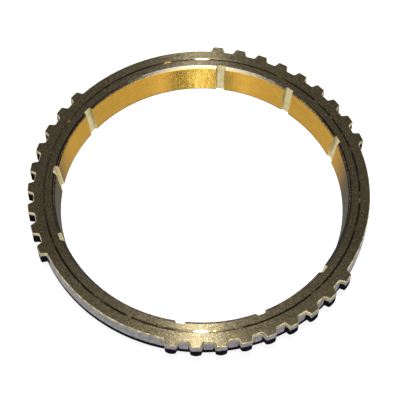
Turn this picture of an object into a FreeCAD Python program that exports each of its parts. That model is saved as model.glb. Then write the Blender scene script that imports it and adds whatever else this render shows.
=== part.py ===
import FreeCAD, Part
import Sketcher
import os
import re
from math import asin, cos, hypot, pi, sin, sqrt

# A blocker (synchronizer) ring of a manual gearbox, forged in brass and then turned and broached.
# It is one piece. The frame is the ring's own: its axis is Z, z = 0 is the hub-side face that it
# rests on, and +Z points to the gear-side face, where the internal cone is widest.
# Seen from +Z the three tooth groups are centred 60, 180 and 300 degrees round from +X.

doc = FreeCAD.newDocument("synchronizer_ring")
sheet = doc.addObject("Spreadsheet::Sheet", "Sizes")
# All lengths are millimetres and all angles degrees. Radii grow outwards from the cone, each by a
# wall or a step of its own, and heights of the rim and teeth are taken from the gear-side face.
sizes = [
    ("ring_height", 8.0),
    # internal cone
    ("cone_small_diameter", 65.9),
    ("cone_half_angle", 6.0),
    ("lead_chamfer", 0.7),
    ("back_edge", 0.2),
    # collar and rim, from the cone outwards, and how far the teeth reach down the rim
    ("collar_wall", 3.05),
    ("collar_edge", 0.4),
    ("rim_shoulder", 2.6),
    ("rim_thickness", 5.9),
    ("tooth_length", 4.55),
    ("face_bevel", 0.15),
    # teeth, in groups, with blocking chamfers on the hub side
    ("group_count", 3),
    ("first_group_angle", 60.0),
    ("teeth_per_group", 9),
    ("tooth_pitch_angle", 8.0),
    ("tooth_height", 1.4),
    ("tooth_tip_width", 2.3),
    ("tooth_root_width", 3.3),
    ("tooth_tip_rounding", 0.4),
    ("tooth_root_rounding", 0.5),
    ("tooth_seat", 1.2),
    ("blocking_angle", 30.0),
    ("ridge_land", 0.5),
    ("blocking_overrun", 0.6),
    # turned line round the gear-side face
    ("line_inset", 2.4),
    ("line_width", 0.36),
    ("line_depth", 0.14),
    # broached oil grooves across the cone, measured down from its wall at either end
    ("grooves_per_group", 3),
    ("groove_spacing", 30.0),
    ("groove_root_width", 1.75),
    ("groove_flank_angle", 21.0),
    ("groove_front_depth", 0.8),
    ("groove_back_depth", 0.45),
    ("groove_reach", 1.8),
    ("groove_overrun", 1.0),
    # index slots for the shift keys, cut into the collar between the tooth groups
    ("slot_width", 9.5),
    ("slot_depth", 1.4),
]
for row, (name, number) in enumerate(sizes, start=1):
    sheet.set("A%d" % row, name)
    sheet.set("B%d" % row, str(number))
    sheet.setAlias("B%d" % row, name)
doc.recompute()

# Radii and heights that several features share, as expressions over the sheet.
collar_radius = "(cone_small_diameter / 2 + collar_wall)"
root_radius = "(%s + rim_shoulder)" % collar_radius
tip_radius = "(%s + tooth_height)" % root_radius
rim_base = "(ring_height - rim_thickness)"
teeth_base = "(ring_height - tooth_length)"
seat_radius = "(%s - tooth_seat)" % root_radius
first_tooth = "(first_group_angle - tooth_pitch_angle * (teeth_per_group - 1) / 2) * 1 deg"
first_groove = "(first_group_angle - groove_spacing * (grooves_per_group - 1) / 2) * 1 deg"

body = doc.addObject("PartDesign::Body", "synchronizer_ring")
body.Label = "synchronizer_ring"
# The teeth are made before the blank that joins them, so for a while they are loose solids.
body.AllowCompound = True
doc.recompute()

names = re.compile(r"\b(%s)\b" % "|".join(name for name, _ in sizes))


def with_sheet(text):
    """The expression with every size's name read from the sheet."""
    return names.sub(r"Sizes.\1", text)


def value(text):
    """The number that an expression over the sheet gives."""
    return float(sheet.evalExpression(with_sheet(text)))


def origin_item(role):
    """The body's own origin plane or axis of that role, such as XY_Plane or Z_Axis."""
    return [f for f in body.Origin.OriginFeatures if f.Role == role][0]


def new_sketch(name, plane, offset="0", turn=None):
    """An empty sketch on one of the body's origin planes.

    offset moves the plane along its own normal, and turn then swings it about the ring's axis.
    On XY_Plane that axis is the sketch's normal, and on YZ_Plane it is the sketch's Y axis.
    """
    sketch = body.newObject("Sketcher::SketchObject", name)
    sketch.AttachmentSupport = [(origin_item(plane), "")]
    sketch.MapMode = "FlatFace"
    swung = turn is not None and plane == "YZ_Plane"
    if turn is not None:
        axis = FreeCAD.Vector(0, 1, 0) if swung else FreeCAD.Vector(0, 0, 1)
        sketch.AttachmentOffset = FreeCAD.Placement(FreeCAD.Vector(0, 0, 0),
                                                    FreeCAD.Rotation(axis, 10))
        sketch.setExpression(".AttachmentOffset.Rotation.Angle", with_sheet(turn))
    if swung:
        # out along the swung normal, so that the plane stays square to its own radius
        sketch.setExpression(".AttachmentOffset.Base.x", with_sheet("%s * sin(%s)" % (offset, turn)))
        sketch.setExpression(".AttachmentOffset.Base.z", with_sheet("%s * cos(%s)" % (offset, turn)))
    else:
        sketch.setExpression(".AttachmentOffset.Base.z", with_sheet(offset))
    return sketch


def bind(sketch, kind, *args):
    """A sketch constraint whose last argument is the expression that drives it."""
    geometry, text = args[:-1], args[-1]
    k = sketch.addConstraint(Sketcher.Constraint(kind, *geometry, value(text)))
    sketch.setExpression("Constraints[%d]" % k, with_sheet(text))


def add_polygon(sketch, points):
    """A closed polygon in the sketch, each corner held to the origin by two bound distances."""
    count = len(points)
    first = sketch.GeometryCount
    ring = [FreeCAD.Vector(5 * cos(2 * pi * i / count), 5 * sin(2 * pi * i / count), 0)
            for i in range(count)]
    for i in range(count):
        sketch.addGeometry(Part.LineSegment(ring[i], ring[(i + 1) % count]), False)
    for i in range(count):
        sketch.addConstraint(Sketcher.Constraint("Coincident", first + i, 2,
                                                 first + (i + 1) % count, 1))
    for i, (x, y) in enumerate(points):
        bind(sketch, "DistanceX", -1, 1, first + i, 1, x)
        bind(sketch, "DistanceY", -1, 1, first + i, 1, y)


def polygon(name, plane, points, offset="0", turn=None):
    """A sketch of one closed polygon, given as pairs of expressions in its own axes."""
    sketch = new_sketch(name, plane, offset, turn)
    add_polygon(sketch, points)
    doc.recompute()
    return sketch


def revolved(kind, name, sketch):
    """A full turn of the sketch about the ring's axis, added or cut."""
    feature = body.newObject(kind, name)
    feature.Profile = sketch
    feature.ReferenceAxis = (origin_item("Z_Axis"), [""])
    feature.Angle = 360
    doc.recompute()
    return feature


def lofted(kind, name, first, second):
    """A ruled loft between two sketches, added or cut."""
    feature = body.newObject(kind, name)
    feature.Profile = first
    feature.Sections = [second]
    feature.Ruled = True
    doc.recompute()
    return feature


def repeated(name, originals, count, angle):
    """The features copied along a group and the group copied round the ring."""
    multi = body.newObject("PartDesign::MultiTransform", name)
    multi.Originals = originals
    along = body.newObject("PartDesign::PolarPattern", name + "Along")
    along.Axis = (origin_item("Z_Axis"), [""])
    along.setExpression("Angle", with_sheet(angle))
    along.setExpression("Occurrences", with_sheet(count))
    around = body.newObject("PartDesign::PolarPattern", name + "Around")
    around.Axis = (origin_item("Z_Axis"), [""])
    around.Angle = 360
    around.setExpression("Occurrences", with_sheet("group_count"))
    multi.Transformations = [along, around]
    body.Tip = multi
    doc.recompute()
    return multi


changes = []


def note(what, amount):
    """Keeps how many cubic millimetres a feature added or cut, to be tested at the end."""
    changes.append((what, amount))


def arc(centre, radius, start, end):
    """A flat arc, anticlockwise from one angle to the other, in radians."""
    return Part.ArcOfCircle(Part.Circle(centre, FreeCAD.Vector(0, 0, 1), radius), start, end)


def line(start, end):
    """A straight line between two points."""
    return Part.LineSegment(start, end)


def flipped(point):
    """The point on the other side of the sketch's X axis."""
    return FreeCAD.Vector(point.x, -point.y, 0)


def tooth_plan(name):
    """One tooth in plan: a trapezoid out along X whose tip lies on the tip circle.

    Its tip corners are rounded, and a fillet leads each flank on to the root circle. The widths
    are measured at two points of the sharp trapezoid, on those circles. The sketch's own solver
    holds every arc tangent, and the places worked out here are only where it starts.
    """
    root, tip = value(root_radius), value(tip_radius)
    half_root, half_tip = value("tooth_root_width / 2"), value("tooth_tip_width / 2")
    corner, fillet = value("tooth_tip_rounding"), value("tooth_root_rounding")
    inner = value(seat_radius)
    # the flank's outward normal and its distance from the axis
    normal = FreeCAD.Vector(half_root - half_tip, tip - root, 0).normalize()
    along = FreeCAD.Vector(normal.y, -normal.x, 0)
    reach = root * normal.x + half_root * normal.y
    corner_out = sqrt((tip - corner) ** 2 - (reach - corner) ** 2)
    fillet_out = sqrt((root + fillet) ** 2 - (reach + fillet) ** 2)
    corner_centre = normal * (reach - corner) + along * corner_out
    fillet_centre = normal * (reach + fillet) + along * fillet_out
    corner_at = asin(corner_centre.y / corner_centre.Length)
    fillet_at = asin(fillet_centre.y / fillet_centre.Length)
    flank_at = pi / 2 - asin(normal.x)
    flank_top = corner_centre + normal * corner
    flank_foot = fillet_centre - normal * fillet
    foot = fillet_centre * (root / fillet_centre.Length)
    heel = FreeCAD.Vector(inner, foot.y, 0)
    origin = FreeCAD.Vector(0, 0, 0)
    sketch = new_sketch(name, "XY_Plane", teeth_base, first_tooth)
    tip_arc = sketch.addGeometry(arc(origin, tip, -corner_at, corner_at), False)
    top_corner = sketch.addGeometry(arc(corner_centre, corner, corner_at, flank_at), False)
    top_flank = sketch.addGeometry(line(flank_top, flank_foot), False)
    top_fillet = sketch.addGeometry(arc(fillet_centre, fillet, fillet_at + pi, flank_at + pi), False)
    top_side = sketch.addGeometry(line(foot, heel), False)
    back = sketch.addGeometry(line(heel, flipped(heel)), False)
    low_side = sketch.addGeometry(line(flipped(heel), flipped(foot)), False)
    low_fillet = sketch.addGeometry(arc(flipped(fillet_centre), fillet, pi - flank_at, pi - fillet_at),
                                    False)
    low_flank = sketch.addGeometry(line(flipped(flank_top), flipped(flank_foot)), False)
    low_corner = sketch.addGeometry(arc(flipped(corner_centre), corner, -flank_at, -corner_at), False)
    root_circle = sketch.addGeometry(Part.Circle(origin, FreeCAD.Vector(0, 0, 1), root), True)
    root_point = sketch.addGeometry(Part.Point(FreeCAD.Vector(root, half_root, 0)), True)
    tip_point = sketch.addGeometry(Part.Point(FreeCAD.Vector(tip, half_tip, 0)), True)
    start, end, centre = 1, 2, 3
    for kind, *where in (
            ("Coincident", tip_arc, centre, -1, 1),
            ("Coincident", root_circle, centre, -1, 1),
            ("Tangent", tip_arc, end, top_corner, start),
            ("Tangent", top_corner, end, top_flank, start),
            ("Tangent", top_flank, end, top_fillet, end),
            ("Tangent", top_fillet, start, root_circle),
            ("Tangent", low_corner, end, tip_arc, start),
            ("Tangent", low_flank, start, low_corner, start),
            ("Tangent", low_flank, end, low_fillet, start),
            ("Tangent", low_fillet, end, root_circle),
            ("Coincident", top_fillet, start, top_side, start),
            ("Coincident", top_side, end, back, start),
            ("Coincident", back, end, low_side, start),
            ("Coincident", low_side, end, low_fillet, end),
            ("Horizontal", top_side),
            ("Horizontal", low_side),
            ("Vertical", back),
            ("Equal", top_corner, low_corner),
            ("Equal", top_fillet, low_fillet),
            ("PointOnObject", root_point, start, top_flank),
            ("PointOnObject", tip_point, start, top_flank),
            ("Symmetric", top_flank, start, low_flank, start, -1)):
        sketch.addConstraint(Sketcher.Constraint(kind, *where))
    bind(sketch, "Radius", tip_arc, tip_radius)
    bind(sketch, "Radius", root_circle, root_radius)
    bind(sketch, "Radius", top_corner, "tooth_tip_rounding")
    bind(sketch, "Radius", top_fillet, "tooth_root_rounding")
    bind(sketch, "DistanceX", -1, 1, root_point, start, root_radius)
    bind(sketch, "DistanceY", -1, 1, root_point, start, "tooth_root_width / 2")
    bind(sketch, "DistanceX", -1, 1, tip_point, start, tip_radius)
    bind(sketch, "DistanceY", -1, 1, tip_point, start, "tooth_tip_width / 2")
    bind(sketch, "DistanceX", -1, 1, back, start, seat_radius)
    doc.recompute()
    return sketch


tooth = body.newObject("PartDesign::Pad", "Tooth")
tooth.Profile = tooth_plan("ToothPlan")
tooth.setExpression("Length", with_sheet("tooth_length"))
doc.recompute()
tooth_volume = body.Shape.Volume
note("tooth", tooth_volume)

# The hub side of a tooth is cut by two sloping faces that leave a narrow ridge between them.
blocking = new_sketch("BlockingSection", "YZ_Plane", seat_radius, first_tooth)
half_land = "ridge_land / 2"
slope_end = "(tooth_root_width / 2 + tooth_root_rounding + blocking_overrun / 2)"
slope_top = "%s + (%s - %s) * tan(blocking_angle * 1 deg)" % (teeth_base, slope_end, half_land)
below = "%s - blocking_overrun" % teeth_base
for side in ("", "-"):
    add_polygon(blocking, [
        (side + half_land, teeth_base),
        (side + slope_end, slope_top),
        (side + slope_end, below),
        (side + half_land, below),
    ])
doc.recompute()
cut = body.newObject("PartDesign::Pocket", "BlockingFaces")
cut.Profile = blocking
cut.setExpression("Length", with_sheet("tooth_seat + tooth_height + blocking_overrun"))
cut.Reversed = True
doc.recompute()
note("blocking faces", tooth_volume - body.Shape.Volume)
one_tooth = body.Shape.Volume
repeated("Teeth", [tooth, cut], "teeth_per_group", "tooth_pitch_angle * (teeth_per_group - 1)")
note("teeth", body.Shape.Volume - one_tooth)

# The blank: one closed section turned about the axis. The cone wall is inside, the rim that
# carries the teeth is outside, and below it a shoulder steps in to the collar at the hub side.
cone_slope = "tan(cone_half_angle * 1 deg)"
cone_front = "(cone_small_diameter / 2 + (ring_height - lead_chamfer - back_edge) * %s)" % cone_slope
section = polygon("RingSection", "XZ_Plane", [
    ("cone_small_diameter / 2 + back_edge", "0"),
    ("cone_small_diameter / 2", "back_edge"),
    (cone_front, "ring_height - lead_chamfer"),
    (cone_front + " + lead_chamfer", "ring_height"),
    (root_radius, "ring_height"),
    (root_radius, rim_base),
    (collar_radius, rim_base),
    (collar_radius, "collar_edge"),
    (collar_radius + " - collar_edge", "0"),
])
before = body.Shape.Volume
revolved("PartDesign::Revolution", "RingBlank", section)
note("blank", body.Shape.Volume - before)

# One bevel runs round the whole outline of the gear-side face, in and out of every tooth.
toothed = body.Tip
top, root, near = value("ring_height"), value(root_radius), 1e-6
outline = ["Edge%d" % i for i, edge in enumerate(toothed.Shape.Edges, start=1)
           if all(abs(v.Z - top) < near and hypot(v.X, v.Y) > root - near for v in edge.Vertexes)]
before = body.Shape.Volume
bevel = body.newObject("PartDesign::Chamfer", "FaceBevel")
bevel.Base = (toothed, outline)
bevel.setExpression("Size", with_sheet("face_bevel"))
doc.recompute()
note("face bevel", before - body.Shape.Volume)

# The turned line: a shallow V all the way round the gear-side face.
line_radius = "(%s - line_inset)" % root_radius
line_section = polygon("FaceLineSection", "XZ_Plane", [
    (line_radius, "ring_height - line_depth"),
    (line_radius + " + line_width", "ring_height + line_depth"),
    (line_radius + " - line_width", "ring_height + line_depth"),
])
before = body.Shape.Volume
revolved("PartDesign::Groove", "FaceLine", line_section)
note("face line", before - body.Shape.Volume)

# One oil groove: a trapezoid that runs down the cone. Its root leans in more than the cone does,
# so the groove is deepest at the gear side and shallow at the hub side.
front_root = "(cone_small_diameter / 2 + ring_height * %s + groove_front_depth)" % cone_slope
back_root = "(cone_small_diameter / 2 + groove_back_depth)"
root_lean = "((%s - %s) / ring_height)" % (front_root, back_root)


def groove_section(name, height, deep):
    """The groove's outline square to the axis at that height, with that root radius."""
    mouth = "(groove_root_width / 2 + groove_reach * tan(groove_flank_angle * 1 deg))"
    return polygon(name, "XY_Plane", [
        (deep, "groove_root_width / 2"),
        (deep + " - groove_reach", mouth),
        (deep + " - groove_reach", "-" + mouth),
        (deep, "-groove_root_width / 2"),
    ], height, first_groove)


groove_front = groove_section("GrooveFront", "ring_height + groove_overrun",
                              front_root + " + groove_overrun * " + root_lean)
groove_back = groove_section("GrooveBack", "-groove_overrun",
                             back_root + " - groove_overrun * " + root_lean)
before = body.Shape.Volume
oil_groove = lofted("PartDesign::SubtractiveLoft", "OilGroove", groove_front, groove_back)
note("oil groove", before - body.Shape.Volume)
before = body.Shape.Volume
repeated("OilGrooves", [oil_groove], "grooves_per_group", "groove_spacing * (grooves_per_group - 1)")
note("oil grooves", before - body.Shape.Volume)

# Index slots, where the shift keys turn the ring: open to the outside and to the hub side,
# halfway between the tooth groups.
slot_floor = "(%s - slot_depth)" % collar_radius
slot_outline = polygon("SlotOutline", "XY_Plane", [
    (slot_floor, "slot_width / 2"),
    (slot_floor, "-slot_width / 2"),
    (root_radius + " + tooth_seat", "-slot_width / 2"),
    (root_radius + " + tooth_seat", "slot_width / 2"),
], turn="(first_group_angle - 180 / group_count) * 1 deg")
before = body.Shape.Volume
slot = body.newObject("PartDesign::Pocket", "IndexSlot")
slot.Profile = slot_outline
slot.setExpression("Length", with_sheet(rim_base))
slot.Reversed = True
doc.recompute()
note("index slot", before - body.Shape.Volume)
slots = body.newObject("PartDesign::PolarPattern", "IndexSlots")
slots.Originals = [slot]
slots.Axis = (origin_item("Z_Axis"), [""])
slots.Angle = 360
slots.setExpression("Occurrences", with_sheet("group_count"))
body.Tip = slots
before = body.Shape.Volume
doc.recompute()
note("index slots", before - body.Shape.Volume)

# Every tooth and every cut has to have changed the solid.
for what, amount in changes:
    print("%-14s %9.3f mm3" % (what, amount))
    if amount <= 0:
        raise RuntimeError(what + " changed nothing")

for obj in doc.Objects:
    if "Invalid" in obj.State or "Error" in obj.State:
        raise RuntimeError(obj.Name + " failed")
for part in (body,):
    shape = part.Shape
    if shape.isNull() or not shape.isValid():
        raise RuntimeError(part.Label + " has no valid shape")
    if len(shape.Solids) != 1:
        raise RuntimeError(part.Label + " is not one solid")

os.makedirs("parts", exist_ok=True)
for part in (body,):
    part.Shape.exportStep("parts/" + part.Label + ".step")
    box = part.Shape.optimalBoundingBox(False)
    print(part.Label, "faces", len(part.Shape.Faces), "volume %.1f mm3" % part.Shape.Volume)
    print("box", [round(v, 3) for v in (box.XMin, box.XMax, box.YMin, box.YMax, box.ZMin, box.ZMax)])
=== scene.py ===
# %% [markdown]
# A brass synchronizer ring, lying on its hub-side face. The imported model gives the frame: the
# ring's size, its axis and the face that it rests on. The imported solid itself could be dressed,
# but its triangles are too coarse for a close look, so the ring is made anew as one fine mesh.
# Everything is worked out from that frame and a few measures in millimetres, so the dressed ring
# stays where the solid is.

# %% Load the frame
import bmesh
import bpy
import numpy as np
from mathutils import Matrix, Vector


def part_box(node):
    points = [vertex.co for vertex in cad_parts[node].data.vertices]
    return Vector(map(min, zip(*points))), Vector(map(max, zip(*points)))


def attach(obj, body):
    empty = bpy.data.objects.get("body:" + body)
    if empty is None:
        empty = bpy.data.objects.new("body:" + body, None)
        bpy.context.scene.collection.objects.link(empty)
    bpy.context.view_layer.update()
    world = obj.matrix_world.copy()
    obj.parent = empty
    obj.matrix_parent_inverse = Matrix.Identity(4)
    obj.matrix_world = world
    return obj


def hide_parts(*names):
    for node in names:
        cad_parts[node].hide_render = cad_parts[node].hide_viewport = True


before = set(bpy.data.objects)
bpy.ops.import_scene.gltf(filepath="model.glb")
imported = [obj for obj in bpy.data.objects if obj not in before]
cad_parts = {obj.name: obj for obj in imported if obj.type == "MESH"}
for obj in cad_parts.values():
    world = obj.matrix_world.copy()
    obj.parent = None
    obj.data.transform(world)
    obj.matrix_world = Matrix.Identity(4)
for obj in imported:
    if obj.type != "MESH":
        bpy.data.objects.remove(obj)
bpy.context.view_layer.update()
MM = 0.001
low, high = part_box("synchronizer_ring")
height = (high.z - low.z) / MM
tip_radius = -low.x / MM
root_radius = high.x / MM
print("height %.2f, tip radius %.2f, root radius %.2f mm" % (height, tip_radius, root_radius))

# %% [markdown]
# The photograph looks down on the ring from the front with a longish lens. A camera is three
# things: where it stands, what it looks at and how narrow its view is. The place is written as a
# distance, an elevation and an azimuth round the ring, because those can be read off the ellipses
# that the ring's edges make. The ring sits a little low in the photograph, and a small lens shift
# gives that without turning the camera.

# %% Camera
camera_distance = 297.54
camera_elevation = np.radians(59.383)
camera_azimuth = np.radians(277.65)
camera_roll = np.radians(0.209)
camera_lens = 116.73
camera_sensor = 36
camera_near = 0.01
camera_shift = (-0.0045, -0.0328)

aim = Vector((0, 0, height * MM))
ground = camera_distance * np.cos(camera_elevation)
stand = aim + MM * Vector((ground * np.cos(camera_azimuth), ground * np.sin(camera_azimuth),
                           camera_distance * np.sin(camera_elevation)))
optics = bpy.data.cameras.new("camera")
optics.sensor_width = camera_sensor
optics.lens = camera_lens
optics.shift_x, optics.shift_y = camera_shift
optics.clip_start = camera_near
camera = bpy.data.objects.new("camera", optics)
camera.location = stand
camera.rotation_euler = (aim - stand).to_track_quat("-Z", "Y").to_euler()
camera.rotation_euler.rotate_axis("Z", camera_roll)
bpy.context.scene.collection.objects.link(camera)
bpy.context.scene.camera = camera
print("camera stands at", [round(v, 4) for v in stand])

# %% [markdown]
# The outside of the ring, seen from above, is one closed outline: 27 teeth in three groups, with
# plain arcs between the groups. One tooth is a trapezoid with rounded tip corners and a fillet at
# each root, so half of it is five stretches: the tip, a corner arc, the flank, a fillet and a bit
# of the root circle. The teeth could be cut out of a disc, as a shaping tool does, but an outline
# of chosen points keeps every corner smooth. Each stretch is a short array of points with their
# outward normals, and the whole outline is those arrays, mirrored, turned and joined. The normals
# matter later: the edge bevel is the same outline moved inwards along them.

# %% One tooth in plan
tooth_pitch = np.radians(8.0)
teeth_per_group = 9
group_pitch = np.radians(120.0)
group_angles = np.radians([60.0, 180.0, 300.0])
tooth_tip_width = 2.3
tooth_root_width = 3.3
tip_rounding = 0.32
root_rounding = 0.45
circle_points = 4
rounding_points = 6


def arc_points(centre, radius, start, end, count, inward=False):
    """Points on a circle: centre plus radius times (cosine, sine), with normals out or in."""
    t = np.linspace(start, end, count)
    normal = np.stack([np.cos(t), np.sin(t)], -1)
    return np.hstack([centre + radius * normal, -normal if inward else normal])


def half_tooth():
    """Rows of x, y and normal from the middle of the tip to the middle of the next gap.

    The flank is the line that is half the tip width from the X axis on the tip circle and half
    the root width on the root circle. Each arc's centre lies one rounding away from that line
    and one rounding inside the tip circle, or outside the root circle.
    """
    rise = (tooth_root_width - tooth_tip_width) / 2
    run = tip_radius - root_radius
    normal = np.array([rise, run]) / np.hypot(rise, run)
    along = np.array([normal[1], -normal[0]])
    reach = root_radius * normal[0] + tooth_root_width / 2 * normal[1]
    corner_out = np.sqrt((tip_radius - tip_rounding) ** 2 - (reach - tip_rounding) ** 2)
    fillet_out = np.sqrt((root_radius + root_rounding) ** 2 - (reach + root_rounding) ** 2)
    corner = normal * (reach - tip_rounding) + along * corner_out
    fillet = normal * (reach + root_rounding) + along * fillet_out
    corner_at = np.arctan2(corner[1], corner[0])
    fillet_at = np.arctan2(fillet[1], fillet[0])
    flank_at = np.arctan2(normal[1], normal[0])
    tip = arc_points(0, tip_radius, 0, corner_at, circle_points)
    round_tip = arc_points(corner, tip_rounding, corner_at, flank_at, rounding_points)[1:]
    start = fillet - root_rounding * normal
    middle = np.hstack([(round_tip[-1, :2] + start) / 2, normal])
    round_root = arc_points(fillet, root_rounding, flank_at + np.pi, fillet_at + np.pi,
                            rounding_points, inward=True)
    gap = arc_points(0, root_radius, fillet_at, tooth_pitch / 2, circle_points)[1:]
    return np.vstack([tip, round_tip, middle, round_root, gap])


upper = half_tooth()
lower = (upper * [1, -1, 1, -1])[:0:-1]
tooth = np.vstack([lower, upper])[:-1]
print("one tooth has", len(tooth), "stations")

# %% [markdown]
# The outline is a list of stations, each with its place, its normal and the angle of the tooth
# that it belongs to. Turning a tooth is one matrix product for all its points. The plain arcs get
# even steps and, at the hub side, an index slot each, so two stations stand close to each slot's
# side.

# %% The whole outline
plain_step = np.radians(0.75)
slot_width = 9.5
slot_floor = 34.6
slot_half_depth = 0.7
slot_half_angle = np.arcsin(slot_width / 2 / (slot_floor + slot_half_depth))
slot_edge_gap = np.radians(0.05)
slot_clear = np.radians(0.2)


def rotated(points, angle):
    """The points and normals turned about the axis by one angle."""
    c, s = np.cos(angle), np.sin(angle)
    turn = np.array([[c, s], [-s, c]])
    return np.hstack([points[:, :2] @ turn, points[:, 2:] @ turn])


def plain_arc(start, end, slot_at):
    """Even stations on the root circle, with four more at the two sides of the index slot."""
    even = np.linspace(start, end, int(round((end - start) / plain_step)) + 1)[:-1]
    sides = slot_at + np.array([-1, -1, 1, 1]) * slot_half_angle
    sides = sides + np.array([-1, 1, -1, 1]) * slot_edge_gap
    clear = np.min(np.abs(even[:, None] - sides[None]), axis=1) > slot_clear
    clear[0] = True
    angles = np.sort(np.append(even[clear], sides))
    normal = np.stack([np.cos(angles), np.sin(angles)], -1)
    return np.hstack([root_radius * normal, normal])


def outline():
    """All stations in order round the ring: rows of x, y, normal, and each one's tooth angle."""
    rows, tooth_at = [], []
    for group_at in group_angles:
        for k in range(teeth_per_group):
            angle = group_at + (k - (teeth_per_group - 1) / 2) * tooth_pitch
            rows.append(rotated(tooth, angle))
            tooth_at.append(np.full(len(tooth), angle))
        start = group_at + teeth_per_group / 2 * tooth_pitch
        end = group_at + group_pitch - teeth_per_group / 2 * tooth_pitch
        rows.append(plain_arc(start, end, (start + end) / 2))
        tooth_at.append(np.full(len(rows[-1]), np.nan))
    return np.vstack(rows), np.concatenate(tooth_at)


stations, tooth_at = outline()
out_angle = np.unwrap(np.arctan2(stations[:, 1], stations[:, 0]))
print(len(stations), "stations round the outside")

# %% [markdown]
# Down the outside the ring is a profile: across the face, over the turned line, round the bevel,
# down the wall, under the tooth and in over the rim to the collar. Each step of the profile is one
# row of the grid, and a row is computed for every station at once. Rows that follow circles use
# only the station's angle, and rows that follow the teeth use its point and normal. A Bevel
# modifier would round every edge alike, so the bevel is five of those rows instead. One circle
# between the line and the teeth, and one outline just inside the bevel, keep the face's shading
# flat right up to its edge.
#
# Under a tooth two blocking faces slope up from a narrow ridge. Their height depends only on how
# far a point is from the tooth's middle line, so the same function serves the tooth's edge and the
# root circle behind it.

# %% Rows of the outer surface
line_radius = 36.2
line_half_width = 0.36
line_depth = 0.14
line_rows = 7
face_loop_radius = 35.5
tooth_foot_radius = 37.4
bevel = 0.25
bevel_steps = 5
flat_margin = 0.02
wall_shares = (0.25, 0.6, 1.0)
flange_base = height - 4.55
blocking_slope = np.tan(np.radians(30.0))
ridge_land = 0.5
rim_step = 0.1
rim_radius = root_radius - rim_step
rim_base = height - 5.9
collar_radius = 36.0
collar_edge = 0.4
touching = 1e-6


def ring_row(radius, z):
    """A circle row: every station at that radius and height, at its own angle."""
    radius = np.broadcast_to(radius, out_angle.shape)
    z = np.broadcast_to(z, out_angle.shape)
    return np.stack([radius * np.cos(out_angle), radius * np.sin(out_angle), z], -1)


def outline_row(inset, z):
    """The tooth outline moved inwards along its normals, at that height."""
    z = np.broadcast_to(z, out_angle.shape)
    return np.column_stack([stations[:, :2] - inset * stations[:, 2:], z])


def blocking_height(points):
    """The blocking faces' height: the ridge, plus the slope times the distance past its land."""
    away = np.abs(-points[:, 0] * np.sin(tooth_at) + points[:, 1] * np.cos(tooth_at))
    lift = np.clip(away - ridge_land / 2, 0, None) * blocking_slope
    return flange_base + np.nan_to_num(lift)


def outer_rows():
    """The rows from the face's inner circle, out over the teeth and down to the hub-side face."""
    rows = [ring_row(face_loop_radius, height)]
    for across in np.linspace(-1, 1, line_rows):
        depth = line_depth * (1 - across ** 2)
        rows.append(ring_row(line_radius + across * line_half_width, height - depth))
    rows.append(ring_row(tooth_foot_radius, height))
    rows.append(outline_row(bevel + flat_margin, height))
    for turn in np.linspace(0, np.pi / 2, bevel_steps):
        rows.append(outline_row(bevel * (1 - np.sin(turn)), height - bevel * (1 - np.cos(turn))))
    edge = outline_row(0, height)
    foot = blocking_height(edge)
    on_tooth = np.hypot(edge[:, 0], edge[:, 1]) > root_radius + touching
    root_row = ring_row(root_radius, height)
    inner_foot = np.where(on_tooth, blocking_height(root_row), foot)
    bottom = np.where(np.isnan(tooth_at), flange_base, foot)
    inner_bottom = np.where(np.isnan(tooth_at), flange_base, inner_foot)
    for share in wall_shares:
        rows.append(outline_row(0, (height - bevel) * (1 - share) + bottom * share))
    rows.append(ring_row(root_radius, inner_bottom))
    rows.append(ring_row(root_radius, flange_base))
    rows.append(ring_row(rim_radius, flange_base - rim_step))
    rows.append(ring_row(rim_radius, rim_base))
    for radius, z in ((collar_radius, rim_base), (collar_radius, collar_edge),
                      (collar_radius - collar_edge, 0)):
        rows.append(collar_row(radius, z))
    return np.array(rows)


def collar_row(radius, z):
    """A collar row: the collar's radius, cut back to the flat floor in each index slot."""
    slot_at = group_angles[0] - group_pitch / 2 + group_pitch * np.arange(4)
    away = out_angle[:, None] - slot_at[None]
    nearest = np.argmin(np.abs(away), axis=1)
    away = away[np.arange(len(away)), nearest]
    inside = np.abs(away) < slot_half_angle
    at_edge = np.abs(np.abs(away) - slot_half_angle) < 2 * slot_edge_gap
    angle = slot_at[nearest] + np.where(at_edge, np.sign(away) * slot_half_angle, away)
    floor = slot_floor / np.cos(angle - slot_at[nearest])
    radius = np.where(inside, np.minimum(floor, radius), radius)
    return np.stack([radius * np.cos(angle), radius * np.sin(angle), np.full(len(angle), z)], -1)


outer = outer_rows()
print("outer rows", outer.shape)

# %% [markdown]
# Inside is the friction cone. It is turned with fine ridges that cut through the oil film, and
# nine oil grooves are broached across it. The ridges could be a bump in the material, but in the
# mesh they catch the light by themselves. The rows follow the height and the stations follow the
# angle, but near a groove the stations have to run along its edges, which lean with the cone. So
# each groove station is a function of the height: the mouth is where the groove's flank meets the
# wall, and the floor's corner is where the flank meets the floor.

# %% Rows and stations of the inner surface
cone_small_radius = 32.95
cone_slope = np.tan(np.radians(6.0))
back_edge = 0.2
lead_chamfer = 0.7
chamfer_rows = 4
ridge_pitch = 0.4
ridge_depth = 0.13
ridge_clear = 0.1
ridge_profile = np.array([[0, 0.3, 0.65]])
groove_half_width = 0.875
groove_flank = np.radians(21.0)
mouth_margin = 0.02
groove_front_radius = 34.59
groove_back_radius = 33.4
groove_spread = np.radians([[-30, 0, 30]])
groove_angles = (group_angles[:, None] + groove_spread).ravel()
inner_step = np.radians(0.8)
groove_clear = np.radians(2.3)
inner_loop_radius = 34.95


def groove_floor(z):
    """The groove floor's distance from the axis: straight from the hub side to the gear side."""
    return groove_back_radius + (groove_front_radius - groove_back_radius) * z / height


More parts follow.
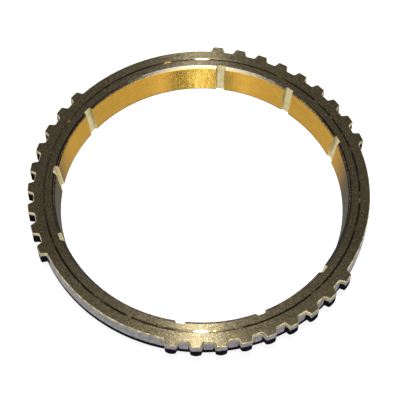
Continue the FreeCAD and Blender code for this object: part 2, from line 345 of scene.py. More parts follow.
def groove_flank_radius(angle, z):
    """Where a ray at that angle from the groove's middle meets its flank.

    The flank is the line y = half width + (floor - x) * tan(flank), so the ray's length is
    (half width + floor * tan) / (sin(angle) + tan * cos(angle)).
    """
    t = np.tan(groove_flank)
    return (groove_half_width + groove_floor(z) * t) / (np.sin(angle) + t * np.cos(angle))


def mouth_angle(radius, z):
    """The angle at which the flank meets a circle of that radius."""
    t = np.tan(groove_flank)
    reach = (groove_half_width + groove_floor(z) * t) * np.cos(groove_flank) / radius
    return np.arcsin(reach) - groove_flank


def wall_profile():
    """Heights and radii up the inside: the back edge, the ridged cone, the chamfer and the face.

    A ridge is three points, at the shares of its pitch in ridge_profile. The first two lie on the
    cone and the third is cut back to the ridge's depth.
    """
    first = back_edge + ridge_clear
    last = height - lead_chamfer - ridge_clear
    turns = int((last - first) / ridge_pitch)
    start = first + np.arange(turns) * (last - first) / turns
    pitch = (last - first) / turns
    cone_z = (start[:, None] + pitch * ridge_profile).ravel()
    cut = np.tile([0, 0, ridge_depth], turns)
    cone_z = np.append(cone_z, last)
    cut = np.append(cut, 0)
    cone_r = cone_small_radius + (cone_z - back_edge) * cone_slope
    top_r = cone_small_radius + (height - lead_chamfer - back_edge) * cone_slope
    rise = np.linspace(0, lead_chamfer, chamfer_rows)
    z = np.concatenate([[0, back_edge], cone_z, height - lead_chamfer + rise, [height]])
    base = np.concatenate([[cone_small_radius + back_edge, cone_small_radius], cone_r,
                           top_r + rise, [inner_loop_radius]])
    cut = np.concatenate([[0, 0], cut, np.zeros(chamfer_rows + 1)])
    return z, base, cut


row_z, row_base, row_cut = wall_profile()
row_wall = row_base + row_cut


def inner_rows():
    """The inner grid: plain stations at even angles and nine stations that follow each groove."""
    z, base, wall = row_z[:, None], row_base[:, None], row_wall[:, None]
    even = np.arange(0, 2 * np.pi, inner_step)
    away = (even[:, None] - groove_angles[None] + np.pi) % (2 * np.pi) - np.pi
    plain = even[np.min(np.abs(away), axis=1) > groove_clear + inner_step / 2]
    angles = [np.broadcast_to(plain, (len(row_z), len(plain)))]
    radii = [np.broadcast_to(wall, (len(row_z), len(plain)))]
    in_groove = [np.zeros(len(plain), bool)]
    mouth = mouth_angle(np.minimum(base, groove_front_radius - mouth_margin), z)
    corner = np.arctan2(groove_half_width, groove_floor(z))
    flank = np.hstack([corner, (corner + mouth) / 2])
    flank_r = np.hstack([groove_floor(z) / np.cos(corner), groove_flank_radius(flank[:, 1:], z)])
    for at in groove_angles:
        middle = corner * np.array([[-0.5, 0, 0.5]])
        floor_r = groove_floor(z) / np.cos(middle)
        local = np.hstack([-mouth, -flank[:, ::-1], middle, flank, mouth])
        radius = np.hstack([wall, flank_r[:, ::-1], floor_r, flank_r, wall])
        radius = np.maximum(radius, wall)
        clear = np.full((len(row_z), 1), groove_clear)
        angles.append(at + np.hstack([-clear, local, clear]))
        radii.append(np.hstack([wall, radius, wall]))
        in_groove.append(np.array([False] + [True] * (local.shape[1] - 1) + [False, False]))
    angle, radius = np.hstack(angles), np.hstack(radii)
    order = np.argsort(angle[0] % (2 * np.pi))
    angle, radius = angle[:, order], radius[:, order]
    rows = np.stack([radius * np.cos(angle), radius * np.sin(angle),
                     np.broadcast_to(z, radius.shape)], -1)
    return rows, np.concatenate(in_groove)[order]


inner, groove_column = inner_rows()
print("inner rows", inner.shape)

# %% [markdown]
# Two grids now have to become one closed skin. They meet on the flat gear-side face and on the
# flat hub-side face, where nobody sees how the triangles lie. The loops there have different
# numbers of points, so they are zipped: walking round both loops by angle, each step forward on
# one loop makes one triangle with the point that the other loop has reached.

# %% Grids into faces


def grid_faces(rows, columns, first):
    """Quads of a grid that closes on itself across its columns, numbered from first."""
    i, j = np.meshgrid(np.arange(rows - 1), np.arange(columns), indexing="ij")
    k = (j + 1) % columns
    quads = np.stack([i * columns + j, i * columns + k, (i + 1) * columns + k,
                      (i + 1) * columns + j], -1)
    return first + quads.reshape(-1, 4)


def zipped(a, b, points):
    """Triangles between two closed loops of point numbers, in the order of their angles.

    Every edge of either loop is placed by the angle of its middle. Sorting all the edges together
    says how many points of the other loop have been passed, and that is the triangle's third.
    """
    def by_angle(loop):
        angle = np.arctan2(points[loop, 1], points[loop, 0]) % (2 * np.pi)
        start = np.argmin(angle)
        return np.roll(loop, -start), np.roll(angle, -start)

    a, angle_a = by_angle(a)
    b, angle_b = by_angle(b)
    middle_a = (angle_a + np.append(angle_a[1:], angle_a[0] + 2 * np.pi)) / 2
    middle_b = (angle_b + np.append(angle_b[1:], angle_b[0] + 2 * np.pi)) / 2
    order = np.argsort(np.concatenate([middle_a, middle_b]), kind="stable")
    from_a = order < len(a)
    passed_a = np.cumsum(from_a) - from_a
    passed_b = np.cumsum(~from_a) - ~from_a
    at_a, next_a = a[passed_a % len(a)], a[(passed_a + 1) % len(a)]
    at_b, next_b = b[passed_b % len(b)], b[(passed_b + 1) % len(b)]
    third = np.where(from_a, next_a, next_b)
    return np.stack([at_a, third, at_b], -1)


points = np.vstack([outer.reshape(-1, 3), inner.reshape(-1, 3)])
out_columns, in_columns = outer.shape[1], inner.shape[1]
in_first = outer.shape[0] * out_columns
outer_quads = grid_faces(outer.shape[0], out_columns, 0)[:, ::-1]
inner_quads = grid_faces(inner.shape[0], in_columns, in_first)[:, ::-1]
face_outer = np.arange(out_columns)
hub_outer = (outer.shape[0] - 1) * out_columns + np.arange(out_columns)
hub_inner = in_first + np.arange(in_columns)
face_inner = in_first + (inner.shape[0] - 1) * in_columns + np.arange(in_columns)
face_strip = zipped(face_outer, face_inner, points)
hub_strip = zipped(hub_outer, hub_inner, points)[:, ::-1]
triangles = 2 * (len(outer_quads) + len(inner_quads)) + len(face_strip) + len(hub_strip)
print(len(points), "points,", triangles, "triangles")

# %% [markdown]
# Finishes follow the rows and columns, because that is how the ring was machined: the face, the
# walls, the chamfer, the cone and the grooves were each cut by a different tool. The number of a
# face's row or column says which finish it gets. Besides the line's rows, the flat face has its
# inner circle, the circle at the teeth's foot and the bevel's margin, and the first step of the
# bevel belongs to it too, so that the walls' colour starts just under the edge. Where two rows
# meet in the same points, as at the foot of a gap, the points are merged, so the mesh is closed.

# %% The ring's mesh
FINISHES = ["face", "wall", "chamfer", "cone", "groove", "hub_side"]
last_face_row = line_rows + 3
collar_rows = 3
last_cone_row = len(row_z) - chamfer_rows - 2
toothless = 1.5
merge_distance = 1e-7
sharp_angle = np.radians(28)


def finish_numbers():
    """One finish number for each face, in the order outer, inner, face strip, hub strip."""
    number = {name: k for k, name in enumerate(FINISHES)}
    outer_row = np.repeat(np.arange(outer.shape[0] - 1), out_columns)
    outer_finish = np.where(outer_row <= last_face_row, number["face"], number["wall"])
    outer_finish[outer_row >= outer.shape[0] - 1 - collar_rows] = number["hub_side"]
    inner_row = np.repeat(np.arange(inner.shape[0] - 1), in_columns)
    inner_finish = np.where(inner_row <= last_cone_row, number["cone"], number["chamfer"])
    inner_finish[inner_row == inner.shape[0] - 2] = number["face"]
    column = np.tile(groove_column, inner.shape[0] - 1)
    inner_finish[column & (inner_row < inner.shape[0] - 2)] = number["groove"]
    return np.concatenate([outer_finish, inner_finish, np.full(len(face_strip), number["face"]),
                           np.full(len(hub_strip), number["hub_side"])])


def outwardness():
    """For each point how squarely its wall faces away from the axis, 1 on tips, about 0 on flanks.

    It is the dot product of the outline's normal with the direction from the axis. The arcs without
    teeth get a number above 1, so that their finish can differ from the gaps'.
    """
    away = stations[:, :2] / np.hypot(stations[:, 0], stations[:, 1])[:, None]
    facing = np.where(np.isnan(tooth_at), toothless, np.sum(away * stations[:, 2:], axis=1))
    return np.concatenate([np.tile(facing, outer.shape[0]), np.zeros(inner.shape[0] * in_columns)])


def ring_object():
    """The closed mesh in metres, its doubles merged, with sharp edges where it turns sharply."""
    mesh = bpy.data.meshes.new("ring")
    faces = outer_quads.tolist() + inner_quads.tolist() + face_strip.tolist() + hub_strip.tolist()
    mesh.from_pydata((points * MM).tolist(), [], faces)
    mesh.polygons.foreach_set("material_index", finish_numbers().astype(np.int32))
    outward = mesh.attributes.new("outward", "FLOAT", "POINT")
    outward.data.foreach_set("value", outwardness().astype(np.float32))
    ring = bpy.data.objects.new("ring", mesh)
    bpy.context.scene.collection.objects.link(ring)
    shell = bmesh.new()
    shell.from_mesh(mesh)
    bmesh.ops.remove_doubles(shell, verts=shell.verts, dist=merge_distance)
    open_edges = sum(1 for e in shell.edges if len(e.link_faces) != 2)
    print("volume %.1f mm3," % (shell.calc_volume(signed=True) / MM ** 3), open_edges, "open edges")
    shell.to_mesh(mesh)
    shell.free()
    mesh.shade_smooth()
    mesh.set_sharp_from_angle(angle=sharp_angle)
    return ring


ring = ring_object()

# %% [markdown]
# Every finish below is a material with a small tree of nodes. The trees could be clicked together
# by hand, but written out they can be read and changed. The same few effects come back in several
# of them, so each effect is a node group that is built once: a colour that is mottled and speckled
# like old brass, fine streaks that follow the lathe's cut, how far a point lies towards one side,
# and a soft ragged edge at some height. The groups only give colours and values. The Principled
# shader that uses them stays in each material.

# %% Helpers for node trees


def rgb(red, green, blue):
    """A colour in screen values, 0 to 255, turned into the linear numbers that Blender wants."""
    share = np.array([red, green, blue]) / 255
    linear = np.where(share <= 0.04045, share / 12.92, ((share + 0.055) / 1.055) ** 2.4)
    return (*linear.tolist(), 1.0)


def below_face(depth):
    """The height in metres of a point that lies that many millimetres under the gear-side face."""
    return (height - depth) * MM


class Tree:
    """A thin wrapper that adds nodes to a tree and joins or sets their inputs in one line."""

    def __init__(self, tree):
        self.tree = tree

    def add(self, kind, *inputs, **settings):
        """A new node: settings are its properties, and inputs are values or sockets in order."""
        node = self.tree.nodes.new("ShaderNode" + kind)
        for name, setting in settings.items():
            setattr(node, name, setting)
        for k, given in enumerate(inputs):
            self.put(node.inputs[k], given)
        return node

    def add_io(self, which):
        """A group's own Input or Output node."""
        return self.tree.nodes.new("NodeGroup" + which)

    def put(self, socket, given):
        """Join a socket to another one, or give it a plain value."""
        if isinstance(given, bpy.types.NodeSocket):
            self.tree.links.new(given, socket)
        elif given is not None:
            socket.default_value = given

    def here(self):
        """The point that is being shaded, in the object's own coordinates."""
        return self.add("TexCoord").outputs["Object"]

    def math(self, operation, *inputs, clamp=False):
        """One arithmetic step on numbers."""
        return self.add("Math", *inputs, operation=operation, use_clamp=clamp).outputs[0]

    def noise(self, vector, scale, detail=2.0, roughness=0.5):
        """Smooth noise from about 0.3 to 0.7, read at that vector."""
        node = self.add("TexNoise")
        for name, given in (("Vector", vector), ("Scale", scale), ("Detail", detail),
                            ("Roughness", roughness)):
            self.put(node.inputs[name], given)
        return node.outputs["Fac"]

    def stretch(self, number, start, end, first, last):
        """The number stretched from start..end to first..last in a straight line, and held there."""
        return self.add("MapRange", number, start, end, first, last).outputs[0]

    def ramp(self, number, start, end, first=0.0, last=1.0):
        """The same as stretch, but with smooth ends."""
        node = self.add("MapRange", number, start, end, first, last, interpolation_type="SMOOTHSTEP")
        return node.outputs[0]

    def wobbled(self, number, patches, amount):
        """The number pushed up and down by patches that run from 0 to 1, by half the amount."""
        push = self.math("MULTIPLY", self.math("SUBTRACT", patches, 0.5), amount)
        return self.math("ADD", number, push)

    def mix(self, share, first, second):
        """A blend of two colours."""
        node = self.add("Mix", data_type="RGBA")
        for socket, given in ((node.inputs[0], share), (node.inputs[6], first),
                              (node.inputs[7], second)):
            self.put(socket, given)
        return node.outputs[2]


def group(name, takes, gives):
    """An empty node group with those named inputs and outputs, each a kind and a default."""
    tree = bpy.data.node_groups.new(name, "ShaderNodeTree")
    for label, (kind, default) in takes.items():
        socket = tree.interface.new_socket(name=label, in_out="INPUT", socket_type="NodeSocket" + kind)
        socket.default_value = default
    for label, kind in gives.items():
        tree.interface.new_socket(name=label, in_out="OUTPUT", socket_type="NodeSocket" + kind)
    inside = Tree(tree)
    return inside, inside.add_io("Input").outputs, inside.add_io("Output").inputs


def placed(tree, name, **values):
    """A node that uses a group, with its inputs set by their labels, spaces written as _."""
    node = tree.add("Group", node_tree=bpy.data.node_groups[name])
    for label, given in values.items():
        tree.put(node.inputs[label.replace("_", " ")], given)
    return node.outputs


def count_nodes(name, tree):
    """Print how many nodes a group or a material holds."""
    print("%s: %d nodes" % (name, len(tree.nodes)))


print("middle grey in linear light:", round(rgb(128, 128, 128)[0], 3))

# %% [markdown]
# Old brass is never one colour. Handling and oil leave broad patches, and on top of them are
# specks: bright where a grain was scratched open, dark where a pit holds dirt. A painted picture
# would need a seam somewhere, so noise in space is used. One broad and one fine noise are enough
# for patches and specks. Only the far ends of the fine noise become specks and pits, so their
# thresholds say how rare they are. A third noise adds a soft grain.

# %% The mottle group
inside, given, result = group(
    "mottle",
    {"Dark": ("Color", (0, 0, 0, 1)), "Light": ("Color", (1, 1, 1, 1)),
     "Speck": ("Color", (1, 1, 1, 1)), "Patch Scale": ("Float", 300.0),
     "Speck Scale": ("Float", 3000.0), "Speck Amount": ("Float", 0.5), "Grain": ("Float", 0.28)},
    {"Color": "Color", "Patches": "Float"})
here = inside.here()
broad = inside.noise(here, given["Patch Scale"], detail=4.0, roughness=0.65)
fine = inside.noise(here, given["Speck Scale"], detail=1.0)
patches = inside.ramp(broad, 0.32, 0.68)
edge = inside.math("SUBTRACT", 0.78, inside.math("MULTIPLY", given["Speck Amount"], 0.2))
specks = inside.ramp(fine, edge, inside.math("ADD", edge, 0.08))
pits = inside.ramp(fine, 0.36, 0.26)
pit_share = inside.math("MULTIPLY", pits, inside.math("MULTIPLY", given["Grain"], 2.0))
soft = inside.noise(here, inside.math("MULTIPLY", given["Speck Scale"], 0.8), detail=2.0)
grain = inside.math("MULTIPLY", inside.ramp(soft, 0.62, 0.38), given["Grain"])
colour = inside.mix(patches, given["Dark"], given["Light"])
colour = inside.mix(pit_share, colour, rgb(20, 16, 12))
colour = inside.mix(grain, colour, rgb(30, 25, 20))
inside.put(result["Color"], inside.mix(specks, colour, given["Speck"]))
inside.put(result["Patches"], patches)
count_nodes("mottle group", inside.tree)

# %% [markdown]
# A turned surface has streaks that run round the axis. They come from noise read at a point that
# moves slowly round the ring and quickly outwards or upwards: the direction from the axis as a
# unit vector, times a small number, and the radius or height times a large one. A ring texture
# would be too regular. There is no seam, because a unit vector comes back to itself after one turn.

# %% The streak group
inside, given, result = group(
    "streaks", {"Round": ("Float", 6.0), "Across": ("Float", 6000.0), "Up": ("Float", 0.0)},
    {"Value": "Float", "Radius": "Float", "Height": "Float"})
parts = inside.add("SeparateXYZ", inside.here()).outputs
radius = inside.math("SQRT", inside.math("ADD", inside.math("MULTIPLY", parts[0], parts[0]),
                                         inside.math("MULTIPLY", parts[1], parts[1])))
flat_x = inside.math("MULTIPLY", inside.math("DIVIDE", parts[0], radius), given["Round"])
flat_y = inside.math("MULTIPLY", inside.math("DIVIDE", parts[1], radius), given["Round"])
across = inside.math("ADD", inside.math("MULTIPLY", radius, given["Across"]),
                     inside.math("MULTIPLY", parts[2], given["Up"]))
spot = inside.add("CombineXYZ", flat_x, flat_y, across).outputs[0]
inside.put(result["Value"], inside.noise(spot, 1.0, detail=3.0, roughness=0.6))
inside.put(result["Radius"], radius)
inside.put(result["Height"], parts[2])
count_nodes("streaks group", inside.tree)

# %% [markdown]
# Some colours lie on one side of the ring, or on two opposite sides; most of them are painted light
# and shade. How far a point is towards a side is the dot product of its direction from the axis with
# the side's own direction: 1 there, 0 a quarter turn away and -1 opposite. Without its sign it is the
# same on both opposite sides. These colours are laid out from the side that the camera sees nearest,
# so each turn is measured from there.

# %% The side group
inside, given, result = group("side", {"Azimuth": ("Float", 0.0)},
                              {"Share": "Float", "Towards": "Float"})
flat = inside.add("VectorMath", inside.here(), (1, 1, 0), operation="MULTIPLY").outputs[0]
flat = inside.add("VectorMath", flat, operation="NORMALIZE").outputs[0]
way = inside.add("CombineXYZ", inside.math("COSINE", given["Azimuth"]),
                 inside.math("SINE", given["Azimuth"]), 0.0).outputs[0]
dot = inside.add("VectorMath", flat, way, operation="DOT_PRODUCT").outputs["Value"]
inside.put(result["Share"], inside.math("ABSOLUTE", dot))
inside.put(result["Towards"], dot)


def side(tree, turn=0.0):
    """The side group, set to the nearest side or to one that many degrees round from it."""
    return placed(tree, "side", Azimuth=float(camera_azimuth + np.radians(turn)))


count_nodes("side group", inside.tree)

# %% [markdown]
# Where one finish ends and the next begins the edge is never a clean line. This group gives 1
# above some height and 0 below it, with a soft step, and lets noise push the step up and down.

# %% The ragged edge group
inside, given, result = group(
    "ragged edge", {"Height": ("Float", 0.0), "At": ("Float", 0.0), "Soft": ("Float", 0.0002),
                    "Ragged": ("Float", 0.0002), "Scale": ("Float", 1200.0)}, {"Above": "Float"})
push = inside.math("SUBTRACT", inside.noise(inside.here(), given["Scale"], detail=3.0), 0.5)
push = inside.math("MULTIPLY", push, inside.math("MULTIPLY", given["Ragged"], 4.0))
past = inside.math("SUBTRACT", inside.math("ADD", given["Height"], push), given["At"])
inside.put(result["Above"], inside.ramp(inside.math("DIVIDE", past, given["Soft"]), -0.5, 0.5))
count_nodes("ragged edge group", inside.tree)

# %% [markdown]
# All the finishes are metal, and most were cut on a lathe. Such a cut is a bundle of tiny grooves
# round the axis. A lamp reflected in it smears out across the grooves, which is why a turned disc
# shows a bright fan towards the lamp and another on the far side. The grooves could be bumps, but
# they are far finer than a pixel. The Principled shader has their effect as Anisotropic, and a
# Tangent node set to Radial about Z tells it which way the grooves run.

# %% The shared start of every finish
across_grooves = 0.25


def finish(name, roughness, turned=0.0):
    """A metal material, its tree and its shader's inputs, by how rough and how turned it is."""
    material = bpy.data.materials.new(name)
    material.use_nodes = True
    tree = Tree(material.node_tree)
    shader = material.node_tree.nodes["Principled BSDF"].inputs
    shader["Metallic"].default_value = 1.0
    shader["Roughness"].default_value = roughness
    if turned:
        shader["Anisotropic"].default_value = turned
        shader["Anisotropic Rotation"].default_value = across_grooves
        tree.put(shader["Tangent"], tree.add("Tangent", direction_type="RADIAL", axis="Z").outputs[0])
    return material, tree, shader


def bumped(tree, shader, bump_height, depth):
    """A Bump node between a height value and the shader's Normal, with its depth in metres."""
    bump = tree.add("Bump")
    tree.put(bump.inputs["Height"], bump_height)
    bump.inputs["Distance"].default_value = depth
    tree.put(shader["Normal"], bump.outputs[0])


print("node groups:", sorted(g.name for g in bpy.data.node_groups))

# %% [markdown]
# The gear-side face is turned and then tarnished to a dark olive brown. Its colour is the mottle
# with faint lathe streaks. It is painted paler towards the near side, a painted highlight that
# widens the lamps' fan. At the very nearest and farthest spots the lamps' reflection is strong, so
# the colour is painted darker there. Mixing in a pale or a dark colour would hide the specks, so the
# whole mottled colour is scaled instead.

# %% Face: the tarnished brass
face, tree, shader = finish("tarnished face", 0.34, turned=0.97)
streak = placed(tree, "streaks", Round=5.0, Across=9000.0)
mottle = placed(tree, "mottle", Dark=rgb(57, 52, 41), Light=rgb(75, 68, 52),
                Speck=rgb(114, 101, 72), Patch_Scale=1700.0, Speck_Scale=3600.0,
                Speck_Amount=0.8, Grain=0.2)
base = tree.mix(tree.ramp(streak["Value"], 0.4, 0.7, 0.0, 0.35), mottle["Color"], rgb(83, 74, 53))
nearest = side(tree)
# Painted highlight: the colour is scaled up towards the near side, and painted darker at the nearest
# and farthest spots.
painted_light_gain = tree.ramp(nearest["Towards"], 0.3, 0.8, 1.0, 1.5)
painted_light_gain = tree.math("SUBTRACT", painted_light_gain, tree.ramp(nearest["Towards"], 0.92, 0.995, 0.0, 0.6))
painted_light_gain = tree.math("SUBTRACT", painted_light_gain, tree.ramp(nearest["Towards"], -0.85, -0.99, 0.0, 0.4))
scaled = tree.add("VectorMath", base, operation="SCALE")
tree.put(scaled.inputs["Scale"], painted_light_gain)
tree.put(shader["Roughness"], tree.ramp(mottle["Patches"], 0, 1, 0.33, 0.385))
bumped(tree, shader, tree.noise(tree.here(), 2600.0, detail=3.0), 0.009 * MM)
count_nodes(face.name, tree.tree)

# %% [markdown]
# The turned line in the face is a groove. Its cross-section is in the mesh, so here only its
# colours are added, by the distance from the line's radius. The line is painted dark, and slow
# streaks round the ring decide where the dark is thick, and where pale gold stretches are painted
# in as highlights. The dark is thin at the left and at the nearest spot. At the nearest and the
# farthest spot the line has a short painted glint, a painted highlight in an ellipse round the
# place where the side's share is 1.

# %% Face: the turned line
line_dark_edge = (0.28 * MM, 0.12 * MM)
glint_reach = 0.0012
glint_width_far = 0.2 * MM
glint_width_near = 0.3 * MM
off_line = tree.math("ABSOLUTE", tree.math("SUBTRACT", streak["Radius"], line_radius * MM))
in_line = tree.ramp(off_line, *line_dark_edge)
along = placed(tree, "streaks", Round=9.0, Across=300.0)["Value"]
# The line is painted dark, thick or thin along the slow streaks.
line_dark = tree.math("MULTIPLY", in_line, tree.ramp(along, 0.64, 0.52))
line_dark = tree.math("MULTIPLY", line_dark, tree.ramp(side(tree, -105)["Towards"], 0.8, 0.96, 1.0, 0.5))
line_dark = tree.math("MULTIPLY", line_dark, tree.ramp(nearest["Towards"], 0.984, 0.993, 1.0, 0.45))
# Pale gold stretches painted in the line as highlights.
gold_highlight_stretches = tree.math("MULTIPLY", in_line, tree.ramp(along, 0.63, 0.67))
# The glint: a painted highlight at the nearest and farthest spots.
off_middle = tree.math("DIVIDE", tree.math("SUBTRACT", 1.0, nearest["Share"]), glint_reach)
glint_width = tree.ramp(nearest["Towards"], -1, 1, glint_width_far, glint_width_near)
painted_glint = tree.math("ADD", off_middle, tree.math("DIVIDE", off_line, glint_width))
base = tree.mix(line_dark, scaled.outputs[0], rgb(25, 20, 17))
base = tree.mix(gold_highlight_stretches, base, rgb(142, 113, 60))
base = tree.mix(tree.ramp(painted_glint, 1.1, 0.8), base, rgb(203, 199, 185))
tree.put(shader["Base Color"], base)
count_nodes(face.name, tree.tree)

# %% [markdown]
# The outer walls were left as forged and trimmed. Their upper edge is pale, partly rubbed brass and
# partly a painted highlight on the rounded edge. Below it the metal is grey, and the foot of the
# wall is painted black, a painted shade. Three colours at fixed heights would look like paint, so
# each band's height changes over the wall. On a tooth's tip the bands sit higher than in a gap,
# which the radius tells. The mesh's attribute "outward" tells a tooth's flank from a tip and an arc
# without teeth. At the left and the right the painted shade climbs higher between the teeth. The
# painted black isn't metal, so the same mask feeds Metallic.

# %% Walls: where the bands lie
wall, tree, shader = finish("forged wall", 0.75)
shader["Specular IOR Level"].default_value = 0.0
place = placed(tree, "streaks", Round=30.0, Across=0.0, Up=900.0)
facing = tree.add("Attribute", attribute_name="outward").outputs["Fac"]
on_tip = tree.ramp(place["Radius"], (root_radius + 0.1) * MM, (tip_radius - 0.3) * MM)
on_flank = tree.ramp(facing, 0.9, 0.5)
cream_at = tree.stretch(on_tip, 0, 1, below_face(1.3), below_face(0.35))
cream_at = tree.stretch(facing, 1.1, 1.4, cream_at, below_face(0.5))
cream_at = tree.stretch(on_flank, 0, 1, cream_at, below_face(1.3))
share = side(tree)["Share"]
# Painted shade: the height below which the wall is painted black, higher at the left and the right.
gap_shade_at = tree.ramp(share, 0.35, 0.65, below_face(0.85), below_face(4.2))
gap_shade_at = tree.stretch(facing, 1.1, 1.4, gap_shade_at, below_face(4.2))
flank_shade_at = tree.ramp(share, 0.3, 0.6, below_face(0.85), below_face(1.25))
flank_shade_at = tree.ramp(share, 0.88, 0.985, flank_shade_at, below_face(2.4))
painted_shade_at = tree.stretch(on_tip, 0, 1, gap_shade_at, below_face(1.97))
painted_shade_at = tree.stretch(on_flank, 0, 1, painted_shade_at, flank_shade_at)
count_nodes(wall.name, tree.tree)

# %% Walls: their colours
# The pale upper band: partly rubbed brass, partly a painted highlight on the rounded edge.
cream = placed(tree, "ragged edge", Height=place["Height"], At=cream_at, Soft=0.9 * MM,
               Ragged=0.15 * MM, Scale=1500.0)["Above"]
above_painted_shade = placed(tree, "ragged edge", Height=place["Height"], At=painted_shade_at, Soft=0.22 * MM,
               Ragged=0.1 * MM, Scale=1500.0)["Above"]
mottle = placed(tree, "mottle", Dark=rgb(112, 110, 113), Light=rgb(141, 139, 140),
                Speck=rgb(160, 157, 150), Patch_Scale=900.0, Speck_Scale=5000.0,
                Speck_Amount=0.2, Grain=0.08)
pale = tree.mix(tree.ramp(place["Value"], 0.35, 0.65), rgb(124, 114, 91), rgb(182, 171, 142))
base = tree.mix(cream, mottle["Color"], pale)
# The wall's foot is painted near black, a painted shade.
tree.put(shader["Base Color"], tree.mix(above_painted_shade, rgb(16, 14, 22), base))
tree.put(shader["Metallic"], above_painted_shade)
bumped(tree, shader, place["Value"], 0.06 * MM)
count_nodes(wall.name, tree.tree)

# %% [markdown]
# The lead-in chamfer guides the gear's cone into the ring. It is painted bright and pale at the far
# side, a painted highlight where it faces the lamps, and painted dark at the near side and the far
# left, a painted shade. Its top is a dark line against the face, and its foot is a ragged edge where
# the cone's gold starts at the far half and a painted shade on the near half. A few gold nicks show
# on the nearest stretch. The bands follow the height, because a lathe cuts everything at one height
# alike.

# %% Chamfer
chamfer, tree, shader = finish("lead-in chamfer", 0.48, turned=0.3)
mottle = placed(tree, "mottle", Dark=rgb(43, 37, 28), Light=rgb(73, 66, 53),
                Speck=rgb(148, 139, 118), Patch_Scale=1800.0, Speck_Scale=4200.0,
                Speck_Amount=1.0, Grain=0.35)
place = placed(tree, "streaks", Round=24.0)
far = tree.wobbled(side(tree, 180)["Towards"], mottle["Patches"], 0.08)
# Painted highlight: the far side is painted pale where it faces the lamps.
far_highlight = tree.math("ADD", tree.ramp(far, 0.81, 1.0), tree.ramp(far, 0.5, 0.81, 0.0, 0.12),
                   clamp=True)
above_foot = placed(tree, "ragged edge", Height=place["Height"], At=below_face(lead_chamfer - 0.17),
                    Soft=0.1 * MM, Ragged=0.18 * MM, Scale=3800.0)["Above"]
top = tree.ramp(place["Height"], below_face(0.32), below_face(0.22))
nicks = tree.math("MULTIPLY", tree.ramp(place["Value"], 0.56, 0.62),
                  tree.ramp(far, -0.5, -0.8, 0.0, 0.9))
# The chamfer's foot: gold at the far half, a painted shade on the near half.
foot = tree.mix(tree.ramp(far, 0.2, 0.4), rgb(18, 13, 8), rgb(166, 125, 49))
base = tree.mix(top, mottle["Color"], rgb(19, 15, 11))
base = tree.mix(far_highlight, base, rgb(140, 135, 123))
# Painted shade at the far left.
base = tree.mix(tree.ramp(side(tree, -128)["Towards"], 0.7, 1.0, 0.0, 0.5), base, rgb(19, 15, 11))
# Painted shade at the near side.
base = tree.mix(tree.ramp(far, 0.05, -0.3, 0.0, 0.85), base, rgb(26, 21, 16))
base = tree.mix(nicks, base, rgb(158, 122, 58))
tree.put(shader["Base Color"], tree.mix(above_foot, foot, base))
bumped(tree, shader, tree.noise(tree.here(), 3000.0, detail=3.0), 0.04 * MM)
count_nodes(chamfer.name, tree.tree)

# %% [markdown]
# The cone is the working face. It rubs clean in use, so it is bare brass, a deep gold. Its ridges
# are in the mesh already. The finish adds the fine lay between them, a dark line at the foot, a
# rough dirty edge below the chamfer, and a painted shade: a dull grey stretch at the left and at
# the right. Where the lamps' reflection falls, at the farthest spot, the gold is painted darker and
# broken up by upright scores, or it would clip to plain yellow.

# %% Cone
cone, tree, shader = finish("friction cone", 0.37, turned=1.0)
lay = placed(tree, "streaks", Round=9.0, Across=0.0, Up=5200.0)
flakes = placed(tree, "streaks", Round=170.0, Across=0.0, Up=1600.0)["Value"]
scores = placed(tree, "streaks", Round=90.0, Across=0.0, Up=300.0)["Value"]
mottle = placed(tree, "mottle", Dark=rgb(199, 155, 63), Light=rgb(204, 164, 74),
                Speck=rgb(206, 188, 120), Patch_Scale=1100.0, Speck_Scale=4600.0,
                Speck_Amount=0.3, Grain=0.06)
above_foot = placed(tree, "ragged edge", Height=lay["Height"], At=0.4 * MM, Soft=0.2 * MM,
                    Ragged=0.05 * MM, Scale=1500.0)["Above"]
rough_top = placed(tree, "ragged edge", Height=lay["Height"], At=below_face(lead_chamfer + 0.05),
                   Soft=0.2 * MM, Ragged=0.22 * MM, Scale=2800.0)["Above"]
towards = side(tree)["Towards"]
near = tree.wobbled(towards, mottle["Patches"], 0.03)
# Painted shade: a dull grey stretch at the left and the right.
side_shade = tree.math("MULTIPLY", tree.ramp(near, -0.42, -0.02), tree.ramp(near, 0.75, 0.5))
darkened_under_highlight = tree.mix(tree.ramp(scores, 0.4, 0.65), rgb(86, 66, 24), rgb(106, 92, 46))
base = tree.mix(tree.ramp(lay["Value"], 0.35, 0.65, 0.0, 0.4), mottle["Color"], rgb(182, 133, 48))
base = tree.mix(above_foot, rgb(70, 53, 30), base)
base = tree.mix(tree.math("MULTIPLY", rough_top, 0.75), base, rgb(102, 73, 34))
base = tree.mix(side_shade, base, rgb(88, 82, 70))
# Painted darker where the lamps' reflection falls, broken by upright scores.
base = tree.mix(tree.ramp(towards, -0.95, -0.992, 0.0, 0.9), base, darkened_under_highlight)
tree.put(shader["Base Color"], base)
bumped(tree, shader, flakes, 0.02 * MM)
count_nodes(cone.name, tree.tree)

# %% [markdown]
# The nine grooves carry the oil away. They were broached, with a tool that is pulled straight
# through, so they have lengthwise marks and no turned look. They aren't rubbed by the gear, and
# stay a pale cream. The marks come from the streaks again: quick round the ring, slow upwards.

# %% Grooves
groove, tree, shader = finish("broached groove", 0.38)
mottle = placed(tree, "mottle", Dark=rgb(180, 168, 125), Light=rgb(197, 187, 148),
                Speck=rgb(216, 209, 177), Patch_Scale=700.0, Speck_Scale=3500.0,
                Speck_Amount=0.4, Grain=0.12)
marks = placed(tree, "streaks", Round=330.0, Across=0.0, Up=120.0)["Value"]
tree.put(shader["Base Color"],
         tree.mix(tree.ramp(marks, 0.5, 0.62, 0.0, 0.6), mottle["Color"], rgb(153, 134, 84)))
count_nodes(groove.name, tree.tree)

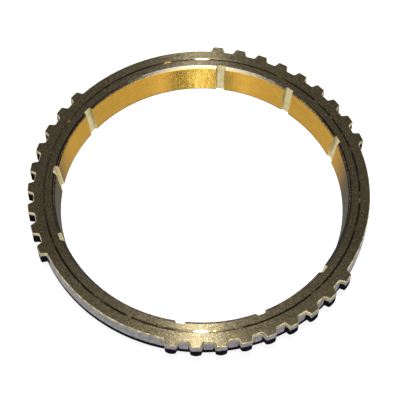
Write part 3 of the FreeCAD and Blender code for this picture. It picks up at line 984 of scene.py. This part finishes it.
# %% [markdown]
# The hub side, with its collar and index slots, faces down. It is turned and tarnished like the
# face, but nobody handles it, so the mottle alone is enough. The six finishes go onto the ring in
# the order of their numbers.

# %% Hub side
hub_side, tree, shader = finish("hub side", 0.48, turned=0.5)
mottle = placed(tree, "mottle", Dark=rgb(42, 37, 33), Light=rgb(72, 62, 48),
                Speck=rgb(122, 106, 72), Patch_Scale=700.0, Speck_Scale=3200.0,
                Speck_Amount=0.5)
tree.put(shader["Base Color"], mottle["Color"])
for material in (face, wall, chamfer, cone, groove, hub_side):
    ring.data.materials.append(material)
print("finishes:", [material.name for material in ring.data.materials])

# %% [markdown]
# The photograph has a plain white ground. A white card under this light would be brighter than
# white and would lose its shadow. So the floor is a grey card, and an emission that only camera,
# glossy and transmission rays can see brings it up to white. The ring gets no light from it, and
# its soft shadow stays.

# %% Floor
floor_reach = 1.5
card_grey = (0.25, 0.25, 0.25, 1)
card_glow = 0.66
floor_mesh = bpy.data.meshes.new("floor")
corners = floor_reach * np.array([[-1, -1, 0], [1, -1, 0], [1, 1, 0], [-1, 1, 0]])
floor_mesh.from_pydata(corners.tolist(), [], [(0, 1, 2, 3)])
floor = bpy.data.objects.new("floor", floor_mesh)
bpy.context.scene.collection.objects.link(floor)
card = bpy.data.materials.new("white card")
card.use_nodes = True
tree = Tree(card.node_tree)
card.node_tree.nodes.remove(card.node_tree.nodes["Principled BSDF"])
path = tree.add("LightPath").outputs
seen = tree.math("ADD", path["Is Camera Ray"], path["Is Glossy Ray"])
seen = tree.math("ADD", seen, path["Is Transmission Ray"], clamp=True)
glow = tree.add("Emission", (1, 1, 1, 1), tree.math("MULTIPLY", seen, card_glow))
both = tree.add("AddShader", tree.add("BsdfDiffuse", card_grey).outputs[0], glow.outputs[0])
tree.put(card.node_tree.nodes["Material Output"].inputs["Surface"], both.outputs[0])
floor_mesh.materials.append(card)
count_nodes(card.name, tree.tree)

# %% [markdown]
# The world gives an even white fill at full strength, under which a colour looks about as it is
# written. Two lamps add the shine. Both are narrow strips in the upright plane through the camera,
# one halfway up in front of the ring and one straight above it. Turned metal reflects a lamp
# where its grooves run across that plane, so each strip shows as a fan at the near side, another
# at the far side and a streak down the cone. A wide softbox would smear the fans round the ring.

# %% Lamps and world
lamp_colour = (0.98, 1.0, 0.98)
lamp_distance = 700.0
front_elevation = np.radians(45.0)
front_size = (70.0, 300.0)
front_power = 4.25
overhead_elevation = np.radians(89.5)
overhead_size = (36.0, 240.0)
overhead_power = 7.25


def lamp(name, elevation, size, power):
    """A soft rectangle of light over the near side: width and height in mm, power in watts."""
    light = bpy.data.lights.new(name, "AREA")
    light.shape = "RECTANGLE"
    light.size, light.size_y = size[0] * MM, size[1] * MM
    light.energy = power
    light.color = lamp_colour
    body = bpy.data.objects.new(name, light)
    flat = lamp_distance * np.cos(elevation)
    spot = MM * Vector((flat * np.cos(camera_azimuth), flat * np.sin(camera_azimuth),
                        lamp_distance * np.sin(elevation)))
    body.location = spot
    body.rotation_euler = (-spot).to_track_quat("-Z", "Y").to_euler()
    body.visible_camera = False
    bpy.context.scene.collection.objects.link(body)


lamp("front strip", front_elevation, front_size, front_power)
lamp("overhead strip", overhead_elevation, overhead_size, overhead_power)
world = bpy.data.worlds.new("studio")
bpy.context.scene.world = world
world.use_nodes = True
world.node_tree.nodes["Background"].inputs["Color"].default_value = (1, 1, 1, 1)
world.node_tree.nodes["Background"].inputs["Strength"].default_value = 1.0
bpy.context.scene.view_settings.view_transform = "Standard"
print("lamps:", [light.name for light in bpy.data.lights])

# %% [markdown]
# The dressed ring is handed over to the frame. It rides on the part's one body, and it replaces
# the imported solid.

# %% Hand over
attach(ring, "root")
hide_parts("synchronizer_ring")
print("handed over:", ring.name)
